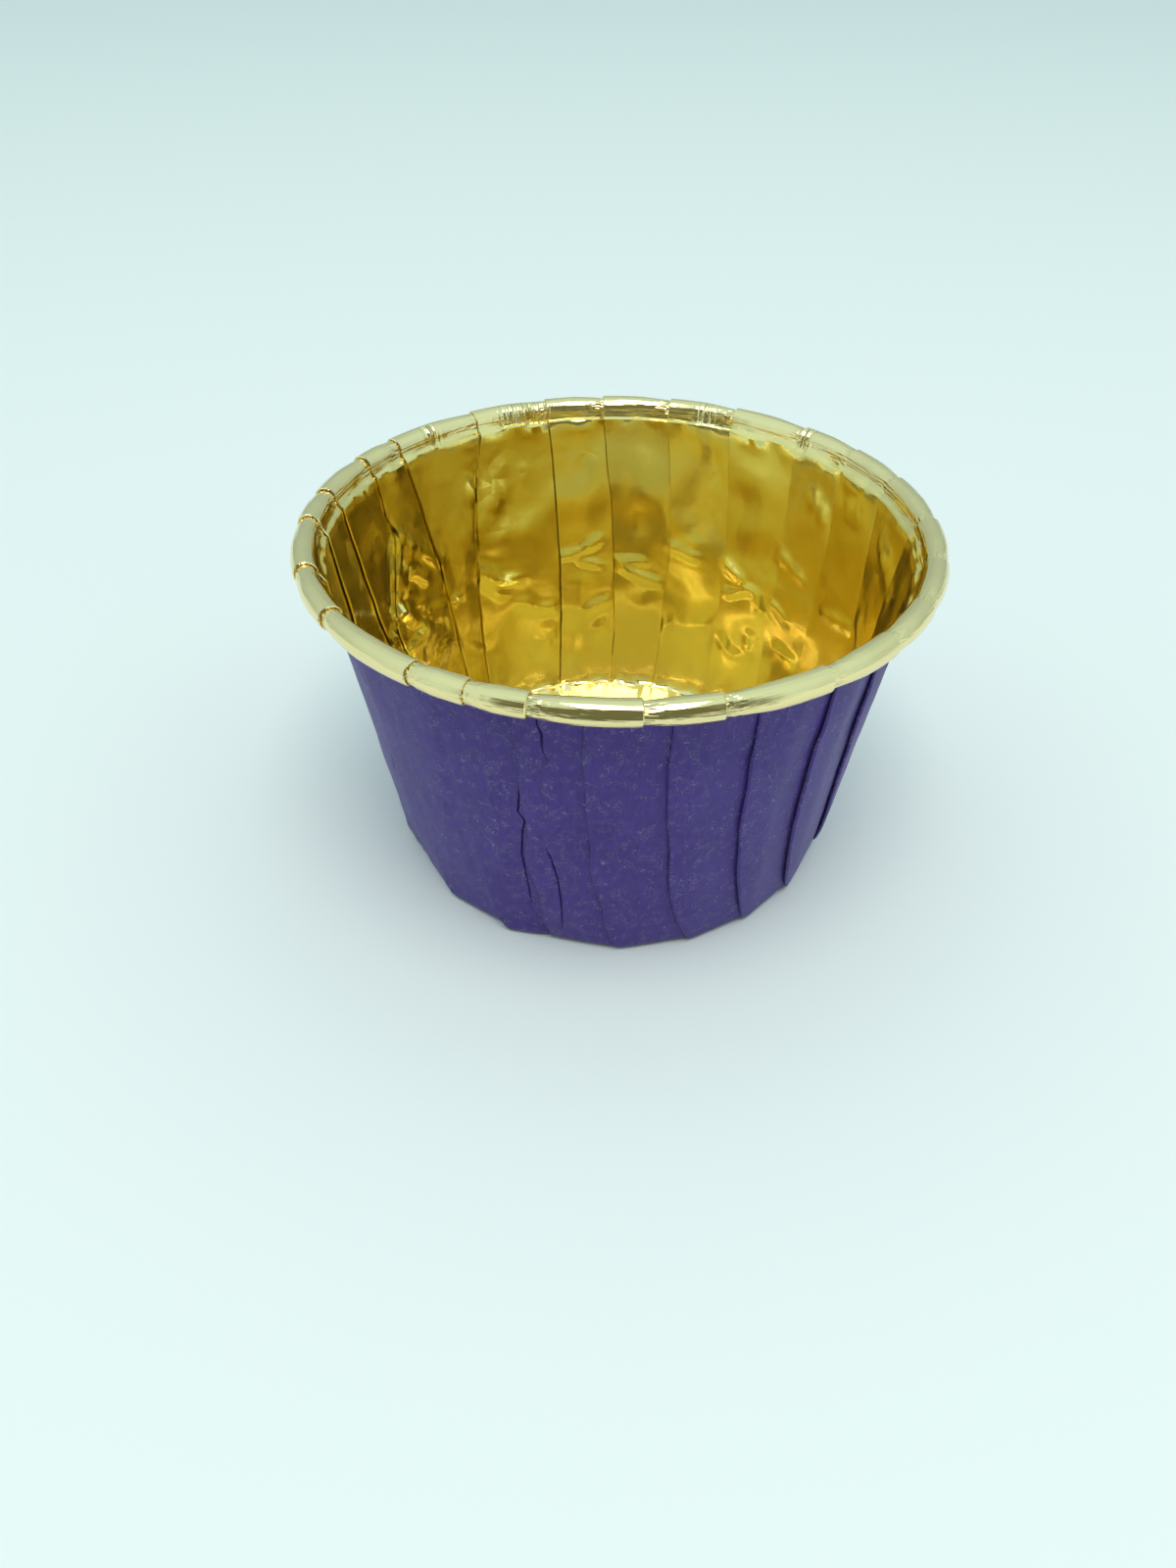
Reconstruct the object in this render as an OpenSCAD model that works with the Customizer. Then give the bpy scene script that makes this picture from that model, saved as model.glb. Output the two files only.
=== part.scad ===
// Baking cup pressed from one disc of foil-faced paper.
// The disc's spare edge is taken up by knife pleats, and its rim is rolled outwards.
// Millimetres, +Z up, origin at the middle of the underside.

/* [Cup] */
// Height from the table to the top of the rolled rim
cup_h = 39; // [32:0.5:46]
// Diameter of the base, where the floor's plane meets the wall
base_d = 50; // [44:0.5:54]
// Diameter of the mouth, over the rolled rim
mouth_d = 68; // [64:0.5:76]
// Radius of the bend from the floor into the wall
corner_r = 2; // [1.5:0.1:3]

/* [Sheet] */
// Thickness of the foil-faced paper
sheet_t = 0.12; // [0.09:0.01:0.16]

/* [Rolled rim] */
// Diameter of the roll over its outside
roll_d = 2.6; // [2.3:0.1:3.2]
// Where the sheet meets the roll, in degrees round the roll from its outermost point
roll_from = 185; // [170:1:190]
// How far round the edge is rolled, in degrees
roll_turn = 310; // [270:2:316]
// Length of the sloping band between the wall and the roll
band_l = 1.3; // [1:0.1:2]
// Slope of that band above the horizontal, in degrees
band_slope = 60; // [55:1:70]

/* [Pleats] */
// Number of knife pleats round the cup
pleat_n = 24; // [20:1:26]
// Air between the layers of a pleat, halfway up the wall
wall_gap = 0.14; // [0.04:0.01:0.2]
// Air between the layers of a pleat in the floor bend and the roll
tight_gap = 0.02; // [0.01:0.005:0.04]
// How fast a pleat deepens above the floor, where 1 is only as fast as the disc needs
fold_ease = 0.35; // [0.3:0.05:1]
// How far each pleat has crept round from its even place, in degrees
pleat_creep = [2, 4, 3, 2, 4, 4, 4, 2, 4, 10, 5, 5, 1, 4, 5, 12, 7, 2, 4, 1, 4, 4, 2, 2];
// How far round from there each pleat leans halfway down the wall, in degrees
lean_halfway = [0, -7, -3, -3, -4, -3, -3, -1, 6, -5, -2, -3, 1, -1, 1, -5, -1, -2, -1, 1, 0, -1, 4, 3];
// How far round from there each pleat leans at the floor, in degrees
lean_low = [0, -9, -4, -4, -4, -1, -3, 1, 8, -6, -2, -5, 0, -2, -3, -11, -1, -1, 0, 6, 4, 6, 14, 7];

/* [Hidden] */

// The roll: its centre line's radius and middle, its heading at its start, and where the band meets it
roll_r = roll_d / 2 - sheet_t / 2;
roll_mid = [mouth_d / 2 - roll_d / 2, cup_h - roll_d / 2];
roll_heading = roll_from - 90;
band_top = roll_mid + roll_r * [cos(roll_from), sin(roll_from)];
neck = band_top - band_l * [cos(band_slope), sin(band_slope)];

// The wall runs straight from the base to the neck
floor_z = sheet_t / 2;
wall_slope = atan2(neck[1] - floor_z, neck[0] - base_d / 2);
floor_r = base_d / 2 - corner_r * tan(wall_slope / 2);
corner_top = [floor_r + corner_r * sin(wall_slope), floor_z + corner_r * (1 - cos(wall_slope))];
corner_l = corner_r * wall_slope * PI / 180;
wall_l = norm(neck - corner_top);

// Where the rings of points lie: shares of the floor bend, of the wall and of the roll
corner_marks = [0.45, 0.72, 1];
wall_marks = [0.1, 0.26, 0.5, 0.78, 1];
roll_steps = 10;

// Points of one pleat on each face of the sheet, and of all pleats
fold_points = 6;
ring_points = pleat_n * fold_points;
// Angle, in degrees, that a pleat's points take up to each side where it is still open
open_spread = 1.25;
// A fold is never shallower than this many thicknesses of the sheet
least_fold = 3;

// A station is [radius, height, heading, length of sheet from the disc's centre, gap between layers]
floor_edge = [floor_r, floor_z, 0, floor_r, tight_gap];

function corner_station(share) =
    let (turn = share * wall_slope)
    [
        floor_r + corner_r * sin(turn),
        floor_z + corner_r * (1 - cos(turn)),
        turn,
        floor_r + share * corner_l,
        tight_gap
    ];

function wall_station(share) =
    let (at = corner_top + share * (neck - corner_top))
    [
        at[0],
        at[1],
        wall_slope,
        floor_r + corner_l + share * wall_l,
        tight_gap + (wall_gap - tight_gap) * sin(180 * share)
    ];

function roll_station(step) =
    let (turned = step / roll_steps * roll_turn, place = roll_from - turned)
    [
        roll_mid[0] + roll_r * cos(place),
        roll_mid[1] + roll_r * sin(place),
        step == 0 ? (band_slope + roll_heading) / 2 : roll_heading - turned,
        floor_r + corner_l + wall_l + band_l + roll_r * turned * PI / 180,
        tight_gap
    ];

stations = concat(
    [floor_edge],
    [for (share = corner_marks) corner_station(share)],
    [for (share = wall_marks) wall_station(share)],
    [for (step = [0:roll_steps]) roll_station(step)]
);

// How far down the wall a station lies, from 0 at the neck to 1 on the floor's plane
function down(station) = max(0, 1 - station[1] / neck[1]);

// A pleat's own value in one of the lists
function own(list, i) = list[(i + pleat_n) % pleat_n % len(list)];

// Angle of a pleat's inner fold, which leans in an even curve, and of the pitch that ends there
function pleat_at(i, station) =
    let (d = down(station))
    i * 360 / pleat_n
        + own(pleat_creep, i)
        + own(lean_halfway, i) * 4 * d * (1 - d)
        + own(lean_low, i) * d * (2 * d - 1);
function pitch_at(i, station) = pleat_at(i, station) - pleat_at(i - 1, station);

// Angle that a length along a station's circle takes up there
function angle_of(length, station) = length / station[0] * 180 / PI;

// The disc's circumference that is left over at a station, as a share of the circumference there
function spare(station) = (station[3] - station[0]) / station[0];
spare_at_neck = spare(wall_station(1));

// Each of a pleat's two turned layers takes half of its pitch's spare sheet
function fold_angle(i, station) = max(
    pitch_at(i, station) * spare_at_neck / 2 * pow(spare(station) / spare_at_neck, fold_ease),
    angle_of(least_fold * sheet_t, station)
);

// A point at an angle round the cup, set off the sheet's centre line towards its paper face
function at_station(station, angle, off) =
    let (
        r = station[0] + off * sin(station[2]),
        z = station[1] - off * cos(station[2])
    )
    [r * cos(angle), r * sin(angle), z];

// One pleat's points on a face of the sheet, where side is -1 on the foil and 1 on the paper.
// On the flat floor the pleat has not begun.
function flat_pleat(i, station, side) = [
    for (k = [0:fold_points - 1])
        at_station(
            station,
            pleat_at(i, station) + open_spread * (2 * k / (fold_points - 1) - 1),
            side * sheet_t / 2
        )
];

// Where it begins, the sheet only steps up towards its paper face
function open_pleat(i, station, side) =
    let (
        half = side * sheet_t / 2,
        rise = 2 * (sheet_t + station[4]),
        riser = pleat_at(i, station) - angle_of(half, station)
    )
    [
        at_station(station, pleat_at(i, station) - open_spread, half),
        for (k = [0:fold_points - 3])
            at_station(station, riser, half + rise * k / (fold_points - 3)),
        at_station(station, pleat_at(i, station) + open_spread, half + rise)
    ];

// Higher up, the sheet runs on to the inner fold, back to the outer fold and on again over the top
function shut_pleat(i, station, side) =
    let (
        half = side * sheet_t / 2,
        layer = sheet_t + station[4],
        inner = pleat_at(i, station),
        outer = inner - fold_angle(i, station),
        bend = angle_of(sheet_t, station),
        inner_edge = side < 0 ? inner : inner - bend,
        outer_edge = side < 0 ? outer + bend : outer
    )
    [
        at_station(station, outer, half),
        at_station(station, inner_edge, half),
        at_station(station, inner_edge, layer - half),
        at_station(station, outer_edge, layer - half),
        at_station(station, outer_edge, 2 * layer + half),
        at_station(station, inner, 2 * layer + half)
    ];

function face_ring(s, side) = [
    for (i = [0:pleat_n - 1])
        each s == 0 ? flat_pleat(i, stations[s], side)
            : s == 1 ? open_pleat(i, stations[s], side)
            : shut_pleat(i, stations[s], side)
];

// Point numbers: each station has its foil ring and then its paper ring
function foil(s, j) = 2 * s * ring_points + j % ring_points;
function paper(s, j) = foil(s, j) + ring_points;

// Two triangles of a face. A pleat's turned-back layer is split the other way about,
// so that its three layers bend alike where the pleat leans.
function two_triangles(a, b, c, d, j = 0) =
    j % fold_points == 2 ? [[a, b, d], [b, c, d]] : [[a, b, c], [a, c, d]];

module floor_disc() {
    linear_extrude(sheet_t)
    polygon([for (p = face_ring(0, 1)) [p[0], p[1]]]);
}

module pleated_wall() {
    last = len(stations) - 1;
    rings = [0:ring_points - 1];
    polyhedron(
        points = [for (s = [0:last]) each concat(face_ring(s, -1), face_ring(s, 1))],
        faces = concat(
            [for (j = rings)
                each two_triangles(foil(0, j), paper(0, j), paper(0, j + 1), foil(0, j + 1))],
            [for (s = [0:last - 1], j = rings)
                each two_triangles(foil(s, j), foil(s, j + 1), foil(s + 1, j + 1), foil(s + 1, j), j)],
            [for (s = [0:last - 1], j = rings)
                each two_triangles(paper(s, j), paper(s + 1, j), paper(s + 1, j + 1), paper(s, j + 1), j)],
            [for (j = rings)
                each two_triangles(foil(last, j), foil(last, j + 1), paper(last, j + 1), paper(last, j))]
        ),
        convexity = 8
    );
}

module baking_cup() {
    color([0.30, 0.24, 0.51])
    union() {
        floor_disc();
        pleated_wall();
    }
}

baking_cup();
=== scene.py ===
import math

import bpy
import numpy as np
from mathutils import Matrix, Vector, noise


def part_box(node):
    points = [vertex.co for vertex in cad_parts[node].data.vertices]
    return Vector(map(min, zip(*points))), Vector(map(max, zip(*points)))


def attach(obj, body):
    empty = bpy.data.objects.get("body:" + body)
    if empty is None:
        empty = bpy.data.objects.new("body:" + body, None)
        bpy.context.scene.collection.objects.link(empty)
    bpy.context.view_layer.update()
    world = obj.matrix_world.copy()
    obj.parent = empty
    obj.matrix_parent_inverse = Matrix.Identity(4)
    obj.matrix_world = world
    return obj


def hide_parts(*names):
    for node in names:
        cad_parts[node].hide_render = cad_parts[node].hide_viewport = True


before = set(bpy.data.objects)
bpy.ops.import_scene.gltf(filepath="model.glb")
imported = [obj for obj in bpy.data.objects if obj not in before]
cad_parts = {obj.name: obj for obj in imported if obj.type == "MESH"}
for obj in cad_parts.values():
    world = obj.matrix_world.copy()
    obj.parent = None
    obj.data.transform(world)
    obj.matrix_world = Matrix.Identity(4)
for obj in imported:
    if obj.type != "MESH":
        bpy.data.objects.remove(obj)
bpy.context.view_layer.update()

# The table and the backdrop: one pale sheet of board that fills the whole view. It is matt, so that
# the cup leaves a soft shadow on it and no reflection.
table_half = 2.4
board_colour = (0.90, 0.92, 0.90)
# The dark colour that only the foil's mirrored rays see on the board: a painted dark reflection
painted_reflection_colour = (0.14, 0.16, 0.10)
bpy.ops.object.select_all(action="DESELECT")
bpy.ops.mesh.primitive_plane_add(size=2 * table_half, location=(0, 1.0, 0))
table = bpy.context.object
table.name = "table"
bpy.ops.object.transform_apply(location=True, rotation=True, scale=True)

board = bpy.data.materials.new("pale_board")
board.use_nodes = True
board_tree = board.node_tree
board_shader = board_tree.nodes["Principled BSDF"]
board_shader.inputs["Roughness"].default_value = 0.9
board_shader.inputs["Specular IOR Level"].default_value = 0.0
table.data.materials.append(board)


def feed(tree, socket, value):
    """Sets a socket to a plain value, or links another node's output to it."""
    if isinstance(value, (int, float, tuple)):
        socket.default_value = value
    else:
        tree.links.new(value, socket)


def combine(tree, operation, *values):
    """Puts plain values and other nodes' outputs together by a sum, a product or the like."""
    node = tree.nodes.new("ShaderNodeMath")
    node.operation = operation
    for socket, value in zip(node.inputs, values):
        feed(tree, socket, value)
    return node.outputs["Value"]


def ease(tree, value, start, end):
    """Goes smoothly from 0 where the value is at its start to 1 at its end."""
    node = tree.nodes.new("ShaderNodeMapRange")
    node.interpolation_type = "SMOOTHSTEP"
    node.inputs["From Min"].default_value = start
    node.inputs["From Max"].default_value = end
    tree.links.new(value, node.inputs["Value"])
    return node.outputs["Result"]


def tint(tree, share, first, second):
    """Goes from the first colour to the second with the share."""
    node = tree.nodes.new("ShaderNodeMix")
    node.data_type = "RGBA"
    tree.links.new(share, node.inputs[0])
    for socket, colour in ((node.inputs[6], first), (node.inputs[7], second)):
        feed(tree, socket, (*colour, 1) if isinstance(colour, tuple) else colour)
    return node.outputs[2]


# Only rays that the foil mirrors see the board dark, in a strip in front of the cup: a painted dark
# reflection on the rolled rim. The camera and the light see the board pale there.
board_place = board_tree.nodes.new("ShaderNodeTexCoord")
board_axes = board_tree.nodes.new("ShaderNodeSeparateXYZ")
board_tree.links.new(board_place.outputs["Object"], board_axes.inputs[0])
ahead_of_cup = ease(board_tree, board_axes.outputs["Y"], -0.085, -0.105)
beside = ease(board_tree, combine(board_tree, "ABSOLUTE", board_axes.outputs["X"]), 0.13, 0.08)
mirrored = board_tree.nodes.new("ShaderNodeLightPath").outputs["Is Glossy Ray"]
painted_reflection_mask = combine(board_tree, "MULTIPLY", combine(board_tree, "MULTIPLY", ahead_of_cup, beside), mirrored)
board_tint = tint(board_tree, painted_reflection_mask, board_colour, painted_reflection_colour)
board_tree.links.new(board_tint, board_shader.inputs["Base Color"])

# The daylight of a bright white room, slightly green-blue as in the photograph. It is palest above
# the camera and duller at the back. Straight in front, below the ceiling, a wide part of it is dark
# and warmer, where the camera is held.
room_tint = (0.745, 0.985, 1.01)
back_tint = (0.40, 0.53, 0.545)
dark_tint = (0.17, 0.185, 0.115)
backdrop_tint = (0.78, 0.92, 0.92)
room_strength = 0.94
dark_half_width = math.radians(46)
dark_top = math.radians(53)
side_blur = 0.2
top_blur = 0.05
room = bpy.data.worlds.new("white_room")
room.use_nodes = True
bpy.context.scene.world = room
room_tree = room.node_tree
room_light = room_tree.nodes["Background"]
room_light.inputs["Strength"].default_value = room_strength
sky_place = room_tree.nodes.new("ShaderNodeTexCoord")


def sky_share(toward, low, high):
    """How far the room's directions turn toward one direction, from 0 at one cosine to 1 at another."""
    way = room_tree.nodes.new("ShaderNodeVectorMath")
    way.operation = "DOT_PRODUCT"
    way.inputs[1].default_value = toward
    room_tree.links.new(sky_place.outputs["Generated"], way.inputs[0])
    return ease(room_tree, way.outputs["Value"], low, high)


# The dark place has a left side, a right side and a top
side_out, side_in = math.cos(dark_half_width), math.sin(dark_half_width)
left_side = sky_share((side_out, -side_in, 0.0), -side_blur, side_blur)
right_side = sky_share((-side_out, -side_in, 0.0), -side_blur, side_blur)
top_side = sky_share((0.0, -math.sin(dark_top), -math.cos(dark_top)), -top_blur, top_blur)
between_sides = combine(room_tree, "MULTIPLY", left_side, right_side)
dark_place = combine(room_tree, "MULTIPLY", between_sides, top_side)
bright_room = tint(room_tree, sky_share((0.0, -0.6, 0.8), -0.6, 0.8), back_tint, room_tint)
whole_room = tint(room_tree, dark_place, bright_room, dark_tint)

# The camera itself sees the room as one pale backdrop
seen = room_tree.nodes.new("ShaderNodeLightPath").outputs["Is Camera Ray"]
room_tree.links.new(tint(room_tree, seen, whole_room, backdrop_tint), room_light.inputs["Color"])

# The lit part of the white ceiling, above and behind the camera: it is wide, so that the cup's
# shadow is soft, and a little warmer than the room.
ceiling_lamp = bpy.data.lights.new("ceiling_lamp", "AREA")
ceiling_lamp.shape = "RECTANGLE"
ceiling_lamp.size = 0.48
ceiling_lamp.size_y = 0.52
ceiling_lamp.energy = 3.4
ceiling_lamp.color = (0.985, 0.95, 0.93)
ceiling = bpy.data.objects.new("ceiling_lamp", ceiling_lamp)
bpy.context.scene.collection.objects.link(ceiling)
ceiling.location = (0.04, -0.34, 0.88)

# The camera of a phone, held close to the cup at the photograph's viewing angle: a wide lens that
# looks down by 40 degrees, a little left of the cup's axis. Pan, tilt and roll are in radians.
camera_data = bpy.data.cameras.new("phone")
camera_data.sensor_fit = "AUTO"
camera_data.sensor_width = 36.0
camera_data.lens = 26.57
camera_data.clip_start = 0.005
camera = bpy.data.objects.new("phone", camera_data)
bpy.context.scene.collection.objects.link(camera)
bpy.context.scene.camera = camera
camera_place = Vector((0.0, -0.1109, 0.09549))
camera_pan = -0.02814
camera_tilt = 0.69813
camera_roll = 0.00481
view_way = Vector((
    math.sin(camera_pan) * math.cos(camera_tilt),
    math.cos(camera_pan) * math.cos(camera_tilt),
    -math.sin(camera_tilt),
))
level_right = Vector((math.cos(camera_pan), -math.sin(camera_pan), 0.0))
level_up = level_right.cross(view_way)
turned_right = level_right * math.cos(camera_roll) + level_up * math.sin(camera_roll)
turned_up = level_up * math.cos(camera_roll) - level_right * math.sin(camera_roll)
camera.matrix_world = Matrix((
    (turned_right.x, turned_up.x, -view_way.x, camera_place.x),
    (turned_right.y, turned_up.y, -view_way.y, camera_place.y),
    (turned_right.z, turned_up.z, -view_way.z, camera_place.z),
    (0, 0, 0, 1),
))

# The baking cup: one disc of purple paper with gold foil glued to one face, 0.12 mm thick in all.
# A press sinks it into a die, where its spare edge gathers into knife pleats, and a second tool
# rolls the edge outwards, so that the foil comes round to the outside of the rim.
MM = 0.001
cup_low, cup_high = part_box("baking_cup")
cup_h = (cup_high[2] - cup_low[2]) / MM
mouth_r = (cup_high[0] - cup_low[0]) / 2 / MM
base_r = 25.0
corner_r = 1.3
sheet_t = 0.12
roll_d = 2.6
roll_from = math.radians(185)
roll_turn = math.radians(310)
band_l = 1.3
band_slope = math.radians(60)

# Each pleat's inner fold: its angle at the rim in degrees past its even place, how far it leans from
# there halfway down the wall and at the floor, and how far the pleat's layers stand apart in mm
pleat_n = 24
pleat_creep = [2, 4, 3, 2, 4, 4, 4, 2, 4, 10, 5, 5, 1, 4, 5, 12, 7, 2, 4, 1, 4, 4, 2, 2]
lean_halfway = [0, -7, -3, -3, -4, -3, -3, -1, 6, -5, -2, -3, 1, -1, 1, -5, -1, -2, -1, 1, 0, -1, 4, 3]
lean_low = [0, -9, -4, -4, -4, -1, -3, 1, 8, -6, -2, -5, 0, -2, -3, -11, -1, -1, 0, 6, 4, 6, 14, 7]
layer_gap = [0.04, 0.03, 0.02, 0.01, 0.01, 0.01, 0.01, 0.02, 0.03, 0.05, 0.05, 0.05,
             0.05, 0.04, 0.04, 0.02, 0.02, 0.16, 0.06, 0.12, 0.16, 0.18, 0.14, 0.12]
roll_gap = 0.015
least_fold = 3 * sheet_t

# One pleat bends in a wave low on the wall, and two are shallower there than the others, by share
wavering_pleat = 17
shallow_pleats = {14: 0.22, 17: 0.55}

# One pleat was pushed aside when the wall crumpled beside it: height in mm and angle in degrees
pushed_pleat = 10
pushed_aside = [
    (6, 0), (12, 5), (17, 8), (19.7, 8), (23.6, 4.4), (27.8, 0.5), (29.5, -0.8), (32, 0.5), (34, 0)]

roll_r = roll_d / 2 - sheet_t / 2
roll_mid_r = mouth_r - roll_d / 2
roll_mid_z = cup_h - roll_d / 2
roll_heading = roll_from - math.pi / 2
band_top_r = roll_mid_r + roll_r * math.cos(roll_from)
band_top_z = roll_mid_z + roll_r * math.sin(roll_from)
neck_r = band_top_r - band_l * math.cos(band_slope)
neck_z = band_top_z - band_l * math.sin(band_slope)
floor_z = sheet_t / 2
wall_slope = math.atan2(neck_z - floor_z, neck_r - base_r)
floor_r = base_r - corner_r * math.tan(wall_slope / 2)
corner_top_r = floor_r + corner_r * math.sin(wall_slope)
corner_top_z = floor_z + corner_r * (1 - math.cos(wall_slope))
corner_l = corner_r * wall_slope
wall_l = math.hypot(neck_r - corner_top_r, neck_z - corner_top_z)


def band_about(values, middle, width):
    """1 at the middle of a band, falling away smoothly to each side."""
    return np.exp(-((values - middle) / width) ** 2)


# The sheet's rings, from the disc's centre to its edge: radius, height, heading,
# length of sheet from the centre, how far a pleat is shut, and how far into the roll the ring lies.
# They lie closest where the press crumpled the wall most. Below the roll the sheet has a narrow shelf
# and then stands steep: shares of the way out and up, and the heading in radians.
floor_rings = [0, 4, 8, 12, 15.5, 18.5, 20.5, 22, floor_r]
corner_shut = [0.15, 0.6, 0.9, 1.0, 1.0]
corner_steps = len(corner_shut)
wall_steps = 46
band_turns = [
    (0.07, 0.25, 1.05), (0.43, 0.34, 0.42), (0.79, 0.43, 0.9), (0.88, 0.68, 1.37), (1.0, 1.0, 1.5)]
roll_steps = 14
even_marks = np.linspace(0, 1, 200)
crowding = 1 + 1.3 * band_about(even_marks * neck_z, 16, 7)
crowded = np.concatenate([[0], np.cumsum((crowding[1:] + crowding[:-1]) / 2)])
wall_marks = np.interp(np.linspace(0, 1, wall_steps + 1), crowded / crowded[-1], even_marks)[1:]
rings = [(r, floor_z, 0.0, r, 0.0, 0.0) for r in floor_rings]
for step, shut in enumerate(corner_shut, start=1):
    turn = wall_slope * step / corner_steps
    rings.append((
        floor_r + corner_r * math.sin(turn), floor_z + corner_r * (1 - math.cos(turn)),
        turn, floor_r + corner_r * turn, shut, 0.0,
    ))
for along in wall_marks:
    rings.append((
        corner_top_r + along * (neck_r - corner_top_r), corner_top_z + along * (neck_z - corner_top_z),
        wall_slope, floor_r + corner_l + along * wall_l, 1.0, 0.0,
    ))
for out_share, up_share, slope in band_turns:
    rings.append((
        neck_r + out_share * (band_top_r - neck_r), neck_z + up_share * (band_top_z - neck_z),
        slope, floor_r + corner_l + wall_l + up_share * band_l, 1.0, up_share,
    ))
for step in range(1, roll_steps + 1):
    turned = roll_turn * step / roll_steps
    rings.append((
        roll_mid_r + roll_r * math.cos(roll_from - turned),
        roll_mid_z + roll_r * math.sin(roll_from - turned),
        roll_heading - turned, floor_r + corner_l + wall_l + band_l + roll_r * turned, 1.0, 1.0,
    ))
rings = np.array(rings)
ring_r, ring_z, ring_heading, ring_length, ring_shut, ring_rolled = rings.T
ring_up = np.clip(ring_z / neck_z, 0, 1)

# The sheet's columns within one pitch, in order along the sheet: the panel up to the outer fold, the
# layer that shows inside, the turn at the inner fold, the hidden layer, the turn at the outer fold and
# the top layer
PANEL, INSIDE, INNER_TURN, HIDDEN, OUTER_TURN, OUTSIDE = range(6)
pitch_columns = (
    [(PANEL, t) for t in (0, 0.04, 0.1, 0.2, 0.33, 0.47, 0.61, 0.75, 0.88)]
    + [(INSIDE, t) for t in (0, 0.17, 0.34, 0.5, 0.67, 0.84, 1)]
    + [(INNER_TURN, 0)]
    + [(HIDDEN, t) for t in (0, 0.33, 0.67, 1)]
    + [(OUTER_TURN, 0)]
    + [(OUTSIDE, t) for t in (0, 0.3, 0.65)]
)
panel_columns = 9
fold_columns = len(pitch_columns) - panel_columns
open_spread = math.radians(1.25)
fold_ease = 0.35
panel_bulge = 0.6
# Pleats that the die has pressed inwards at the base, so that the paper runs straight past them there
pressed_in = (14, 17)

# A pleat takes up the circumference that the disc has to spare. At a radius under 1 mm there is no pleat.
pleat_r = np.maximum(ring_r, 1)
spare = np.maximum(ring_length - ring_r, 0) / pleat_r
neck_row = len(floor_rings) + corner_steps + wall_steps - 1
spare_at_neck = spare[neck_row]
fold_growth = spare_at_neck / 2 * (spare / spare_at_neck) ** fold_ease

# How free the folds are to waver: not in the bend at the floor, and not where the roll holds them
below_roll = np.clip((neck_z - ring_z) / 6, 0, 1)
above_floor = np.clip(ring_z / 2, 0, 1)


def ring_noise(first, second, size):
    """Noise of one size in mm up the rings."""
    return np.array([noise.noise((first, second, z / size)) for z in ring_z])


def pleat_angle(i):
    """The inner fold's angle at each ring: its place at the rim, its lean and a slight waver."""
    turns, i = divmod(i, pleat_n)
    top = math.radians(i * 360 / pleat_n + pleat_creep[i] + 360 * turns)
    down = 1 - ring_up
    lean = lean_halfway[i] * 4 * down * (1 - down) + lean_low[i] * down * (2 * down - 1)
    waver = ring_noise(i * 7.3, 0.0, 9) * 0.5 + ring_noise(i * 3.1, 5.0, 3) * 0.25
    if i == wavering_pleat:
        waver = waver + 1.2 * np.sin(2 * math.pi * (ring_z - 17.2) / 13) * band_about(ring_z, 14, 9)
    if i == pushed_pleat:
        lean = lean + np.interp(ring_z, *zip(*pushed_aside))
    return top + np.radians(lean + waver * below_roll * above_floor)


def fold_angle(i):
    """The angle between a pleat's inner and outer folds at each ring."""
    pitch = pleat_angle(i) - pleat_angle(i - 1)
    waver = ring_noise(i % pleat_n * 5.7, 9.0, 7) * 0.12
    depth = 1 - (1 - shallow_pleats.get(i % pleat_n, 1)) * below_roll
    return np.maximum(pitch * fold_growth * (1 + waver * below_roll) * depth, least_fold / pleat_r)


def layer_pitch(i):
    """How far apart the layers' middles lie at each ring: widest on the wall, tight in the roll."""
    open_gap = layer_gap[i % pleat_n] * np.clip(ring_up * 6, 0, 1) * np.clip((1 - ring_up) * 5, 0, 1)
    return sheet_t + roll_gap + open_gap


def chord(angle, start, end):
    """A panel is nearly flat from one outer fold to the next: its radius as a share of the ring's."""
    middle, half = (start + end) / 2, (end - start) / 2
    flat = np.cos(half) / np.cos(np.clip(angle - middle, -half, half))
    return flat + panel_bulge * (1 - np.cos(half))


# Narrow creases on three panels, which three of the panel's columns follow: height in mm, angle in
# degrees and depth in mm. The second runs just before the wavering pleat's outer fold.
narrow_creases = {
    14: [(14.0, 211.0, 0.0), (18.2, 211.4, 0.25), (21.0, 212.0, 0.32), (24.8, 213.0, 0.38),
         (28.2, 210.8, 0.30), (30.5, 206.5, 0.15), (32.5, 206.0, 0.0)],
    17: [(3.0, 251.0, 0.0), (8.5, 251.1, 0.25), (14.7, 250.6, 0.38), (18.5, 251.6, 0.40),
         (20.2, 252.5, 0.40), (21.3, 251.2, 0.40), (24.0, 252.0, 0.35), (27.7, 253.4, 0.15),
         (30.0, 253.8, 0.0)],
    18: [(0.0, 258.0, 0.0), (2.0, 258.2, 0.05), (4.5, 258.6, 0.25), (8.1, 258.8, 0.32),
         (12.2, 258.4, 0.34), (15.6, 257.4, 0.30), (17.8, 256.0, 0.0), (23, 257.6, 0.0),
         (29.0, 258.7, 0.0), (29.9, 258.6, 0.14), (30.8, 258.0, 0.10), (31.8, 257.6, 0.24),
         (32.7, 258.2, 0.32), (34.1, 257.4, 0.34), (35.6, 256.9, 0.25), (36.4, 257.0, 0.0)],
}
narrow_half = 0.16
crease_columns = {14: (6, 7, 8), 17: (6, 7, 8), 18: (2, 3, 4)}


def along_crease(i, k, t, before, outer):
    """A panel column's place where a narrow crease runs on the panel, and how far it is sunk there."""
    heights, angles, depths = zip(*narrow_creases[i])
    depth = np.interp(ring_z, heights, depths)
    if k not in crease_columns[i]:
        return t, 0 * depth
    width = (outer - before) * pleat_r
    near = np.clip(depth / 0.12, 0, 1)
    side = crease_columns[i].index(k) - 1
    line = (np.radians(np.interp(ring_z, heights, angles)) - before) / (outer - before)
    beside = np.clip(line + side * narrow_half / width, 0.02 + 0.01 * k, 0.90 + 0.012 * k)
    return t + near * (beside - t), depth * (side == 0)


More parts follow.
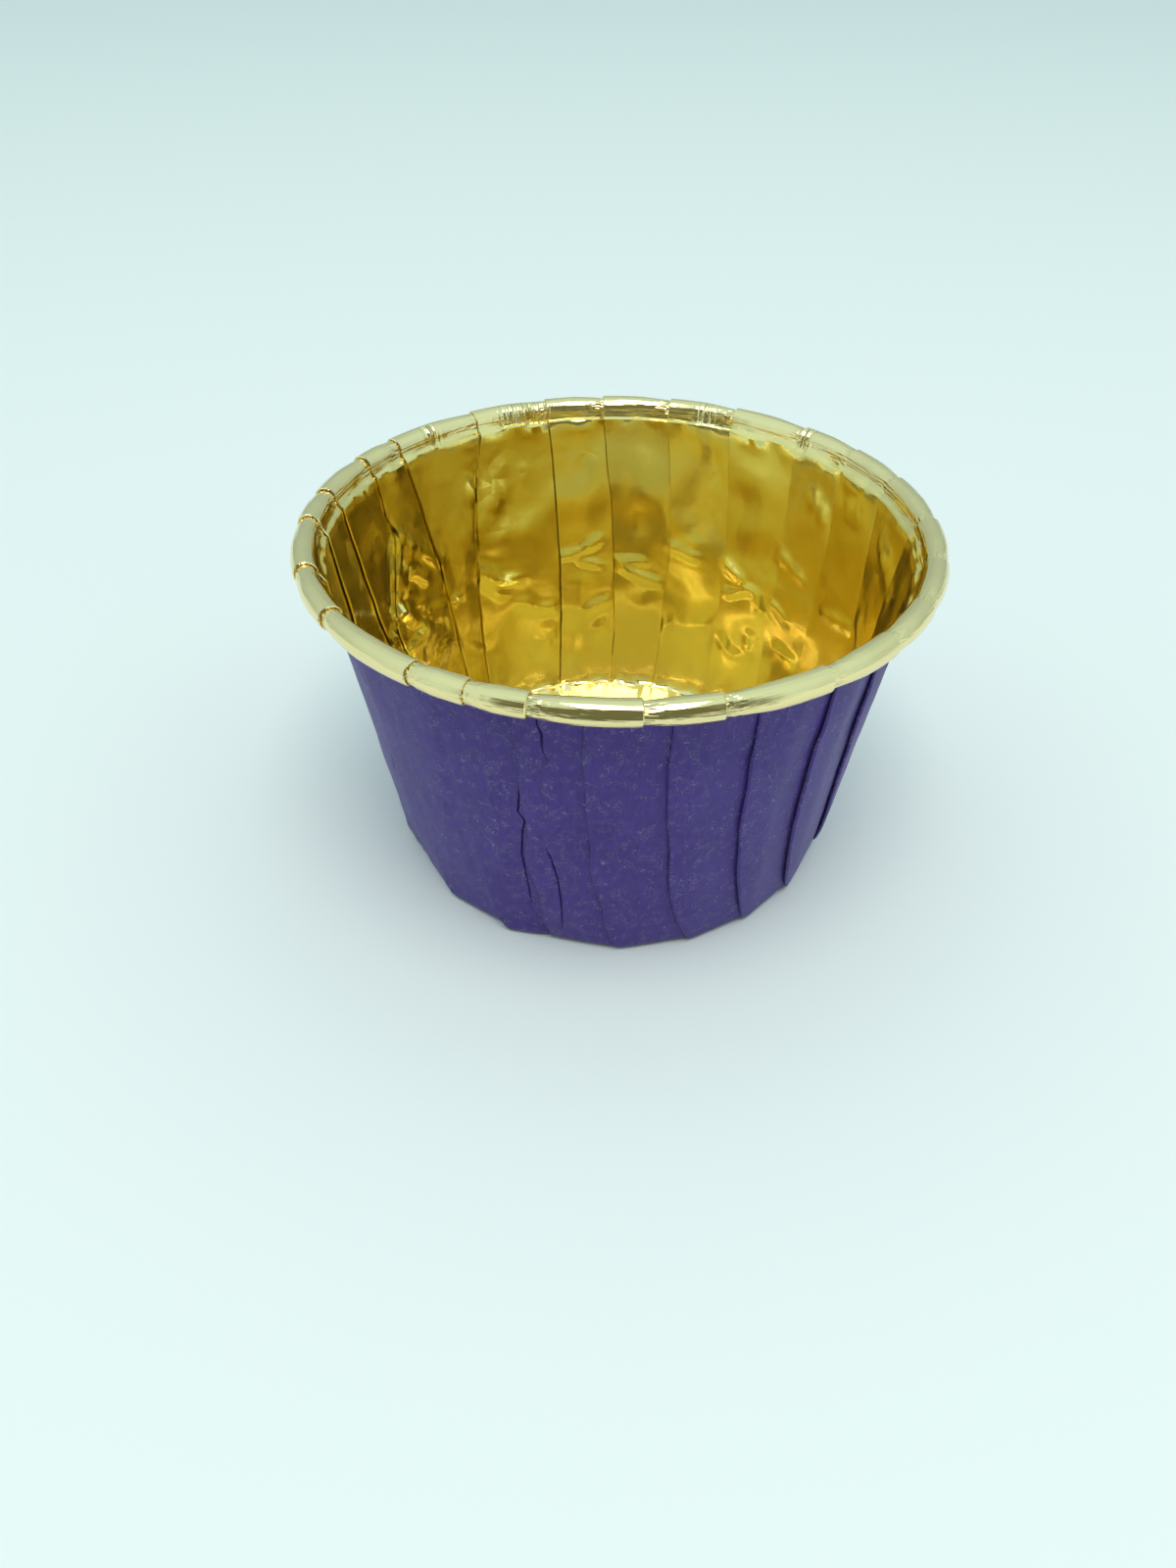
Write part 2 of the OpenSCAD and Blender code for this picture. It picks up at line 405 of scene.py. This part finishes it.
def base_corner(i, way):
    """Where the base has its corner: at the outer fold of the first pleat that way that stands out."""
    while i % pleat_n in pressed_in:
        i += way
    return pleat_angle(i) - fold_angle(i)


def pressed_by(i):
    """How far a pleat is pressed inwards at each ring."""
    return 2 * layer_pitch(i) * np.exp(-ring_z / 5) if i % pleat_n in pressed_in else 0 * ring_z


# The panels are flattest at the base and round out towards the rim. Past a step the sheet falls away to
# its own level, slowly along the roll and sooner on the wall.
flat_share = np.where(ring_z > floor_z, 0.9 * np.exp(-ring_z / 9), 0.9 * (ring_r / floor_r) ** 8)
fall_away = 1.15 + 0.5 * np.clip(ring_up * 4, 0, 1) * np.clip((1 - ring_up) * 5, 0, 1)
columns = []
for i in range(pleat_n):
    before, inner = pleat_angle(i - 1), pleat_angle(i)
    outer = inner - fold_angle(i)
    corner_before, corner, corner_after = base_corner(i - 1, -1), base_corner(i, 1), base_corner(i + 1, 1)
    layer, layer_before = layer_pitch(i), layer_pitch(i - 1)
    pressed, pressed_before = pressed_by(i), pressed_by(i - 1)
    bend = 0.5 * layer / pleat_r
    for k, (kind, t) in enumerate(pitch_columns):
        past_step = 99.0
        dented = 0.0
        sunk = 0 * layer
        if kind == PANEL:
            dented = min(1.0, t / 0.2)
            if i in narrow_creases:
                t, sunk = along_crease(i, k, t, before, outer)
            angle = before + t * (outer - before)
            off = (2 * layer_before - pressed_before) * (1 - t) ** fall_away - pressed * t ** 3
            flat = before + open_spread + t * (inner - before - 2 * open_spread)
            reach = chord(angle, corner_before, corner)
            past_step = t * (outer - before) * ring_r
        else:
            flat = inner + open_spread * (2 * (k - panel_columns + 0.5) / fold_columns - 1)
        if kind == INSIDE:
            angle, off = outer + t * (inner - outer), 0 * layer
            past_step = (angle - before) * ring_r
            dented = 1.0
        elif kind == INNER_TURN:
            angle, off = inner + bend, 0.5 * layer
            dented = 0.5
        elif kind == HIDDEN:
            angle, off = inner - t * (inner - outer), layer
        elif kind == OUTER_TURN:
            angle, off = outer - bend, 1.5 * layer
        elif kind == OUTSIDE:
            angle, off = outer + t * (inner - outer), 2 * layer
        if kind != PANEL:
            off = off - pressed
            reach = chord(angle, corner if i not in pressed_in else corner_before, corner_after)
        columns.append((
            flat + ring_shut * (angle - flat), ring_shut * off,
            1 - flat_share * (1 - reach), past_step + 0 * layer, dented + 0 * layer, sunk,
        ))
sheet_angle, sheet_off, sheet_reach, sheet_past, sheet_dented, sheet_sunk = (
    np.array(part).T for part in zip(*columns))
ring_n, column_n = sheet_angle.shape
sheet_r = ring_r[:, None] * sheet_reach
sheet_z = np.repeat(ring_z[:, None], column_n, axis=1)
sheet_deg = np.degrees(sheet_angle) % 360

# The creases that stand out on the wall: height towards the foil and width to each side in mm,
# and the points they run through as an angle in degrees and a height in mm
foil_creases = [
    (0.30, 1.3, [(153.2, 29.2), (148.3, 27.0), (141.5, 23.1)]),
    (0.25, 1.1, [(154.0, 28.1), (157.2, 23.4), (159.3, 20.7), (167.0, 18.5)]),
    (0.22, 1.0, [(150.7, 26.7), (154.4, 24.0), (155.4, 22.0)]),
    (0.22, 1.0, [(151.5, 24.2), (146.5, 21.9)]),
    (0.20, 0.9, [(155.4, 22.9), (151.7, 21.1)]),
    (0.20, 0.9, [(150.7, 19.7), (148.9, 18.1)]),
    (0.22, 1.0, [(159.0, 20.6), (155.6, 19.1), (151.3, 16.8)]),
    (0.22, 1.0, [(149.2, 16.8), (153.5, 15.0), (156.1, 13.3)]),
    (0.22, 1.0, [(143.6, 12.6), (147.8, 11.4)]),
    (-0.25, 1.3, [(144.1, 15.1), (141.5, 13.8)]),
    (-0.25, 1.6, [(138.6, 13.4), (130.2, 10.4)]),
    (0.16, 0.8, [(138.5, 17.5), (134.7, 17.9)]),
    (0.25, 1.1, [(129.4, 20.3), (124.0, 17.6), (119.4, 17.5)]),
    (0.18, 1.0, [(129.9, 19.0), (124.0, 15.7)]),
    (0.22, 1.2, [(117.6, 14.0), (112.8, 12.3), (108.7, 12.4)]),
    (0.20, 1.1, [(109.0, 9.7), (113.2, 6.9)]),
    (0.20, 0.9, [(128.3, 31.0), (128.2, 28.4)]),
    (0.25, 0.9, [(123.1, 31.4), (122.7, 27.9)]),
    (0.20, 0.9, [(119.2, 32.6), (120.5, 28.9)]),
    (0.15, 0.8, [(115.5, 31.8), (113.5, 30.4)]),
    (0.20, 1.1, [(104.9, 19.3), (100.2, 19.7), (95.1, 21.3)]),
    (0.15, 0.9, [(100.7, 18.5), (95.1, 17.7)]),
    (0.20, 1.0, [(89.6, 18.4), (83.6, 18.4)]),
    (0.20, 1.1, [(88.7, 17.5), (81.6, 16.0), (78.5, 15.7)]),
    (0.20, 1.1, [(76.3, 21.0), (73.7, 20.6), (68.8, 20.1)]),
    (0.12, 0.8, [(73.4, 21.6), (68.8, 21.8)]),
    (0.25, 1.1, [(59.4, 20.0), (55.1, 18.7)]),
    (0.22, 1.0, [(57.6, 16.4), (54.5, 17.2), (51.9, 17.9)]),
    (0.18, 1.1, [(49.7, 17.7), (47.2, 15.8)]),
    (0.20, 1.1, [(98.8, 11.4), (92.9, 12.8)]),
    (0.20, 1.0, [(97.5, 7.9), (94.2, 9.5)]),
    (0.20, 1.0, [(75.9, 8.5), (74.8, 10.2)]),
    (0.14, 0.9, [(65.8, 10.6), (63.6, 11.3)]),
    (0.20, 1.1, [(57.1, 9.8), (53.6, 7.6), (48.1, 8.9), (49.0, 11.9)]),
    (-0.25, 1.6, [(92.9, 35.9), (98.1, 33.0), (99.0, 30.1)]),
    (-0.12, 1.2, [(69.4, 36.4), (67.5, 33.2), (65.2, 27.5), (63.1, 24.5)]),
    (-0.08, 2.0, [(83.1, 14.2), (83.1, 13.6)]),
    (-0.06, 2.2, [(69.0, 24.2), (69.0, 23.6)]),
    (-0.06, 2.4, [(85.4, 25.0), (85.4, 23.0)]),
    (0.15, 0.9, [(45.4, 33.4), (42.2, 35.1)]),
    (0.15, 0.9, [(39.2, 35.4), (35.9, 36.2)]),
    (0.22, 1.1, [(39.1, 32.2), (35.5, 31.3), (34.4, 30.5)]),
    (0.22, 1.1, [(44.5, 23.6), (39.8, 22.7), (36.7, 22.2)]),
    (0.15, 0.9, [(23.1, 33.3), (24.4, 32.8), (27.9, 33.3), (23.2, 34.6)]),
    (0.18, 0.9, [(24.3, 36.4), (20.3, 34.4)]),
    (0.30, 1.0, [(13.5, 33.7), (8.8, 32.0), (1.0, 29.9)]),
    (0.15, 0.9, [(35.7, 35.9), (33.1, 34.4)]),
    (0.15, 1.0, [(44.1, 17.4), (38.3, 16.2)]),
    (0.20, 1.2, [(39.0, 11.9), (33.0, 11.6)]),
    (0.18, 1.2, [(25.6, 20.1), (14.3, 21.4)]),
    (0.20, 1.0, [(11.0, 23.6), (7.6, 21.4)]),
]
paper_creases = [
    (0.09, 0.9, [(221.0, 33.0), (222.5, 22.0), (222.0, 9.0)]),
    (0.08, 0.8, [(228.0, 34.0), (229.5, 25.0), (229.0, 16.0)]),
    (0.09, 0.9, [(237.0, 30.0), (236.0, 18.0), (236.5, 8.0)]),
    (0.07, 0.8, [(244.0, 34.0), (244.5, 24.0), (243.0, 12.0)]),
    (0.15, 1.3, [(276.6, 31.8), (274.0, 28.9)]),
    (0.12, 1.2, [(296.0, 29.5), (293.2, 27.1)]),
    (0.15, 0.7, [(232.1, 19.2), (233.4, 18.4)]),
]


def crease_height(lines):
    """How far the creases stand up towards the foil, in mm, at every point of the sheet."""
    total = np.zeros_like(sheet_r)
    for tall, wide, line in lines:
        height = np.zeros_like(sheet_r)
        for (deg_a, z_a), (deg_b, z_b) in zip(line, line[1:]):
            across = np.radians((sheet_deg - deg_a + 180) % 360 - 180) * sheet_r
            run = np.radians((deg_b - deg_a + 180) % 360 - 180) * sheet_r
            rise = z_b - z_a
            length = np.maximum(np.hypot(run, rise), 0.001)
            share = np.clip((across * run + (sheet_z - z_a) * rise) / length ** 2, 0, 1)
            far = np.hypot(across - share * run, sheet_z - z_a - share * rise)
            height = np.maximum(height, np.clip(1 - far / (0.85 * wide), 0, 1) ** 1.3)
        total += tall * height
    return total


def smooth_noise(size, shift=0.0):
    """Noise of one size in mm at every point of the sheet."""
    x, y = sheet_r * np.cos(sheet_angle), sheet_r * np.sin(sheet_angle)
    spots = np.stack([x / size + shift, y / size, sheet_z / size], axis=-1).reshape(-1, 3)
    return np.array([noise.noise(spot) for spot in spots]).reshape(sheet_r.shape)


def crumpled_facets(size, tall):
    """A crumpled sheet's facets of one size in mm: 0 along the creases, rising to each facet's middle."""
    x, y = sheet_r * np.cos(sheet_angle), sheet_r * np.sin(sheet_angle)
    spots = np.stack([x / size, y / size, sheet_z / (size * tall)], axis=-1).reshape(-1, 3)
    heights = []
    for spot in spots:
        far, seeds = noise.voronoi(spot)
        heights.append((far[1] ** 2 - far[0] ** 2) / (2 * max((seeds[1] - seeds[0]).length, 0.001)))
    return np.array(heights).reshape(sheet_r.shape)


def facing(direction):
    """How far each point of the sheet lies to one side of the cup, from 1 there to 0 across from it."""
    return 0.5 + 0.5 * np.cos(np.radians(sheet_deg - direction))


# The press crumples the wall most at the back and near the floor, and in one patch and one strip at
# the left
up = sheet_z / neck_z
on_wall = np.clip(up * 10, 0, 1) * np.clip((1 - up) * 9, 0, 1)
in_roll = np.repeat(ring_rolled[:, None], column_n, axis=1)
backness = facing(105)
patch = band_about(sheet_deg, 155, 13) * band_about(up, 0.5, 0.26)
strip = band_about(sheet_deg, 124, 7) * band_about(up, 0.8, 0.2)
creasing = (
    0.05 + backness * (0.05 + 0.22 * band_about(up, 0.14, 0.13) + 0.12 * band_about(up, 0.48, 0.08))
    + 1.7 * patch + 0.7 * strip + 0.14 * smooth_noise(9, 40)
)
creasing = np.clip(creasing, 0.02, 1.8)
soft_dents = (
    (0.10 + 0.22 * backness) * smooth_noise(9) + (0.05 + 0.14 * backness) * smooth_noise(4.2, 20))
facets = creasing * (
    0.62 * (crumpled_facets(4.4, 1.0) - 0.2) + 0.15 * (crumpled_facets(2.0, 0.9) - 0.2))
ridges = (1.7 + 0.9 * patch) * crease_height(foil_creases)
dents = on_wall * (1 - in_roll) * (soft_dents - facets - ridges) - sheet_sunk

# The floor's edge is crumpled upwards only, because it stands on the table
at_base = np.clip(1 - (sheet_z - 1.2) / 1.6, 0, 1)
edge_zone = band_about(sheet_r, 24.0, 2.2) * at_base
dents -= (0.05 + backness) * edge_zone * (
    0.7 * crumpled_facets(2.6, 1.0) + 0.55 * crumpled_facets(1.4, 0.9))
wide_bend = band_about(sheet_r, 24.4, 1.5) * np.clip(1 - (sheet_z - 0.3) / 1.1, 0, 1)
dents -= backness ** 2 * wide_bend * np.clip(
    0.35 + 0.5 * smooth_noise(3.1, 53) + 0.5 * smooth_noise(1.5, 31), 0, 0.9)
on_floor = (sheet_z <= floor_z) * np.clip(sheet_r / 6, 0, 1)
dents -= 0.10 * on_floor * np.clip(smooth_noise(9, 7) + 0.3, 0, 1)

# Where the wall meets the band below the roll, the sheet is pinched into an uneven wrinkle, with a
# second one below it at the right, and the band itself is dented
rightness = facing(15)
pinch_z = neck_z - 0.2 + 0.5 * smooth_noise(5, 60)
pinch = band_about(sheet_z, pinch_z, 0.40) * (ring_rolled < 0.5)[:, None]
dents -= pinch * (0.14 + 0.10 * rightness) * np.clip(0.5 + 1.6 * smooth_noise(2.2, 11), 0, 1.5)
second_pinch = band_about(sheet_z, pinch_z - 1.2, 0.45) * rightness ** 3
dents -= second_pinch * 0.18 * np.clip(0.3 + 1.6 * smooth_noise(2.0, 31), 0, 1.5)
in_band = ((ring_rolled > 0) & (ring_rolled < 1))[:, None]
dents += in_band * (0.16 * smooth_noise(3.2, 91) + 0.10 * smooth_noise(1.6, 17))

# How finely the foil is creased: most along the ridges, in the patch and at the floor's edge
fine_creasing = np.clip(0.35 * creasing + 0.9 * np.abs(ridges), 0, 0.8) * np.clip(0.3 + on_wall, 0, 1)
fine_creasing = np.where(in_roll > 0, 0.05, fine_creasing) + 0.4 * edge_zone * backness

# The roll is dented just past each step, and crimped across in a few places: angle and width in degrees
crimped_places = [(112.5, 4.5), (70.5, 1.5), (46.0, 1.5), (136.0, 1.5)]
crimped = in_roll * sum(band_about(sheet_deg, middle, width) for middle, width in crimped_places)
just_past = np.exp(-sheet_past / 1.2)
dents += (in_roll > 0.9) * 0.06 * just_past * smooth_noise(1.6, 77)

# The foil's colour is made paler on the roll and in the bend of the floor at the back: a painted
# highlight, a lighter copy of the foil's colour where bright reflections show.
low_bend = (sheet_r > 20) * band_about(np.maximum(sheet_z, 1), 1, 2.5)
pale = np.maximum(in_roll, backness ** 2 * low_bend)

# The layers behind a pleat's inner one follow its shallow dents, and keep clear of it. At the base
# they all stay together. The paper's own creases go into every layer.
dents = np.minimum(dents, 0.12)
clear = 0.05 * np.clip(fine_creasing, 0, 1) * (1 - in_roll) * (1 - at_base)
behind = np.maximum(dents, -0.04 - 2 * at_base) + clear
dents = sheet_dented * dents + (1 - sheet_dented) * behind - crease_height(paper_creases)

# The narrow shelf below the roll is sharp at the back and fades to a plain slope at the sides
shelf = np.clip(0.15 + 0.85 * band_about(sheet_deg, 95, 50) + 0.8 * smooth_noise(4, 15), 0, 1)
for row, (out_share, up_share, _) in enumerate(band_turns[:-1], start=neck_row + 1):
    sheet_r[row] += (1 - shelf[row]) * (up_share - out_share) * (band_top_r - neck_r)

reach_r = sheet_r + (sheet_off + dents) * np.sin(ring_heading)[:, None]
places = np.stack([
    reach_r * np.cos(sheet_angle), reach_r * np.sin(sheet_angle),
    np.maximum(sheet_z - (sheet_off + dents) * np.cos(ring_heading)[:, None], floor_z),
], axis=-1)

# The disc is laid out as a grid of rings and columns. The points at its centre, and its first and last
# columns, are then merged. Marks on its points say where the foil is creased, rolled, pale or crimped.
bpy.ops.object.select_all(action="DESELECT")
bpy.ops.mesh.primitive_grid_add(x_subdivisions=column_n, y_subdivisions=ring_n - 1, size=1)
cup = bpy.context.object
cup.name = "foil_paper_cup"
grid_places = np.concatenate([places, places[:, :1]], axis=1) * MM
cup.data.vertices.foreach_set("co", grid_places.reshape(-1))
along_rim = sheet_angle * mouth_r
across_roll = np.repeat(ring_length[:, None], column_n, axis=1)
for name, values in (
    ("creased", fine_creasing), ("rolled", in_roll), ("pale", pale), ("past_step", sheet_past),
    ("along_rim", along_rim), ("across_roll", across_roll), ("crimped", crimped),
):
    marks = cup.data.attributes.new(name, "FLOAT", "POINT")
    marks.data.foreach_set("value", np.concatenate([values, values[:, :1]], axis=1).reshape(-1))
cup.data.update()

bpy.ops.object.mode_set(mode="EDIT")
bpy.ops.mesh.select_all(action="SELECT")
bpy.ops.mesh.remove_doubles(threshold=0.000001)
bpy.ops.object.mode_set(mode="OBJECT")

# Gold foil: polished aluminium under a clear gold lacquer. It is finely crumpled, and on the roll the
# crimping tool draws fine lines along it and leaves short wrinkles next to each pleat's step.
deep_lacquer = (0.935, 0.765, 0.275)
# A paler copy of the foil's colour, used where the foil is marked pale: painted highlight
highlight_pale_lacquer = (0.95, 0.785, 0.40)
foil = bpy.data.materials.new("gold_foil")
foil.use_nodes = True
foil_tree = foil.node_tree
foil_shader = foil_tree.nodes["Principled BSDF"]
foil_shader.inputs["Metallic"].default_value = 1.0
foil_place = foil_tree.nodes.new("ShaderNodeTexCoord").outputs["Object"]


def mottle(tree, place, scale, detail, distortion=0):
    """Cloudy noise over a place, with about so many clouds to the metre."""
    node = tree.nodes.new("ShaderNodeTexNoise")
    node.inputs["Scale"].default_value = scale
    node.inputs["Detail"].default_value = detail
    node.inputs["Distortion"].default_value = distortion
    tree.links.new(place, node.inputs["Vector"])
    return node


def bumps(tree, height, distance, strength, below=None):
    """Lets the light see a height of so many metres, on top of the bumps below."""
    node = tree.nodes.new("ShaderNodeBump")
    node.inputs["Distance"].default_value = distance
    feed(tree, node.inputs["Strength"], strength)
    tree.links.new(height, node.inputs["Height"])
    if below is not None:
        tree.links.new(below, node.inputs["Normal"])
    return node.outputs["Normal"]


def foil_mark(name):
    """A mark on the foil's points."""
    node = foil_tree.nodes.new("ShaderNodeAttribute")
    node.attribute_name = name
    return node.outputs["Fac"]


def streaks(along_scale, across_scale, detail):
    """Noise drawn out along the rim or across it, by the point's place on the sheet in mm."""
    place = foil_tree.nodes.new("ShaderNodeCombineXYZ")
    along = combine(foil_tree, "MULTIPLY", foil_mark("along_rim"), along_scale)
    across = combine(foil_tree, "MULTIPLY", foil_mark("across_roll"), across_scale)
    foil_tree.links.new(along, place.inputs["X"])
    foil_tree.links.new(across, place.inputs["Y"])
    node = foil_tree.nodes.new("ShaderNodeTexNoise")
    node.noise_dimensions = "2D"
    node.inputs["Scale"].default_value = 1
    node.inputs["Detail"].default_value = detail
    foil_tree.links.new(place.outputs["Vector"], node.inputs["Vector"])
    return node.outputs["Fac"]


# Fine creases, bent so that they don't run straight, and soft ripples over them
bent_place = foil_tree.nodes.new("ShaderNodeVectorMath")
bent_place.operation = "MULTIPLY_ADD"
bent_place.inputs[1].default_value = (0.0026, 0.0026, 0.0026)
foil_tree.links.new(mottle(foil_tree, foil_place, 160, 2).outputs["Color"], bent_place.inputs[0])
foil_tree.links.new(foil_place, bent_place.inputs[2])
crease_pattern = foil_tree.nodes.new("ShaderNodeTexVoronoi")
crease_pattern.feature = "DISTANCE_TO_EDGE"
crease_pattern.inputs["Scale"].default_value = 240
foil_tree.links.new(bent_place.outputs["Vector"], crease_pattern.inputs["Vector"])
creased = bumps(foil_tree, crease_pattern.outputs["Distance"], 0.0006, foil_mark("creased"))
ripple = mottle(foil_tree, foil_place, 420, 3).outputs["Fac"]
rippled = bumps(foil_tree, ripple, 0.00010, 0.25, creased)

# On the roll: lines drawn along it, wrinkles that fan out past each step, and the crimped places
rolled = foil_mark("rolled")
fading = combine(foil_tree, "MULTIPLY", foil_mark("past_step"), -0.8)
near_step = combine(foil_tree, "POWER", 2.718, fading)
drawn_strength = combine(foil_tree, "MULTIPLY", rolled, 0.3)
drawn = bumps(foil_tree, streaks(0.12, 3.2, 2), 0.00022, drawn_strength, rippled)
fan_strength = combine(foil_tree, "MULTIPLY", near_step, rolled)
fanned = bumps(foil_tree, streaks(0.7, 2.6, 1), 0.00034, fan_strength, drawn)
crimped_over = bumps(foil_tree, streaks(1.6, 0.25, 1), 0.0009, foil_mark("crimped"), fanned)
foil_tree.links.new(crimped_over, foil_shader.inputs["Normal"])
# The foil's colour, turned paler where it is marked pale as a painted highlight
lacquer = tint(foil_tree, foil_mark("pale"), deep_lacquer, highlight_pale_lacquer)
foil_tree.links.new(lacquer, foil_shader.inputs["Base Color"])

# The roll is burnished smoother than the wall
haze = foil_tree.nodes.new("ShaderNodeMapRange")
haze.inputs["To Min"].default_value = 0.165
haze.inputs["To Max"].default_value = 0.09
foil_tree.links.new(rolled, haze.inputs["Value"])
foil_tree.links.new(haze.outputs["Result"], foil_shader.inputs["Roughness"])

# Purple paper: dyed pulp with a satin face. A fine grain runs up the wall, and curly fibres lie raised in
# its skin here and there; their paler colour is a painted glint of the light they catch.
deep_dye = (0.046, 0.020, 0.185, 1)
light_dye = (0.072, 0.036, 0.265, 1)
# The fibres' paler colour: painted glints
fibre_glint_colour = (0.29, 0.23, 0.56)
paper = bpy.data.materials.new("purple_paper")
paper.use_nodes = True
paper_tree = paper.node_tree
paper_shader = paper_tree.nodes["Principled BSDF"]
paper_shader.inputs["Roughness"].default_value = 0.5
paper_shader.inputs["Specular IOR Level"].default_value = 0.25
paper_shader.inputs["Sheen Weight"].default_value = 0.08
paper_shader.inputs["Sheen Roughness"].default_value = 0.4
paper_place = paper_tree.nodes.new("ShaderNodeTexCoord").outputs["Object"]


def paper_ramp(value, stops):
    """Turns a value into the colours at its stops."""
    node = paper_tree.nodes.new("ShaderNodeValToRGB")
    while len(node.color_ramp.elements) < len(stops):
        node.color_ramp.elements.new(0.5)
    for element, (position, colour) in zip(node.color_ramp.elements, stops):
        element.position = position
        element.color = colour
    paper_tree.links.new(value, node.inputs["Fac"])
    return node.outputs["Color"]


none, full = (0, 0, 0, 1), (1, 1, 1, 1)
curls = mottle(paper_tree, paper_place, 2100, 1, 1.8).outputs["Fac"]
patches = mottle(paper_tree, paper_place, 900, 2).outputs["Fac"]
fibre_curls_and_glints = combine(
    paper_tree, "MULTIPLY",
    paper_ramp(curls, [(0.45, none), (0.5, full), (0.55, none)]),
    paper_ramp(patches, [(0.49, none), (0.57, full)]))
grain_place = paper_tree.nodes.new("ShaderNodeMapping")
grain_place.inputs["Scale"].default_value = (1, 1, 0.07)
paper_tree.links.new(paper_place, grain_place.inputs["Vector"])
grain = mottle(paper_tree, grain_place.outputs["Vector"], 3800, 3).outputs["Fac"]
cloud = mottle(paper_tree, paper_place, 160, 3).outputs["Fac"]
dye_depth = combine(paper_tree, "MULTIPLY_ADD", grain, 0.7, combine(paper_tree, "MULTIPLY", cloud, 0.3))
dye = paper_ramp(dye_depth, [(0.35, deep_dye), (0.65, light_dye)])
# The dye, painted paler on the fibres as painted glints
paper_tree.links.new(tint(paper_tree, fibre_curls_and_glints, dye, fibre_glint_colour), paper_shader.inputs["Base Color"])
grained = bumps(paper_tree, grain, 0.00002, 0.5)
paper_tree.links.new(bumps(paper_tree, fibre_curls_and_glints, 0.00007, 0.9, grained), paper_shader.inputs["Normal"])

# The foil lies on the inner face of the sheet and the paper on the outer one
cup.data.materials.append(paper)
cup.data.materials.append(foil)
thickness = cup.modifiers.new("sheet", "SOLIDIFY")
thickness.thickness = sheet_t * MM
thickness.offset = 0
thickness.material_offset = 1
thickness.material_offset_rim = 1
bpy.ops.object.modifier_apply(modifier="sheet")
bpy.ops.object.shade_smooth_by_angle(angle=math.radians(38))

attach(cup, "root")
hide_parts("baking_cup")

bpy.context.scene.view_settings.view_transform = "Standard"
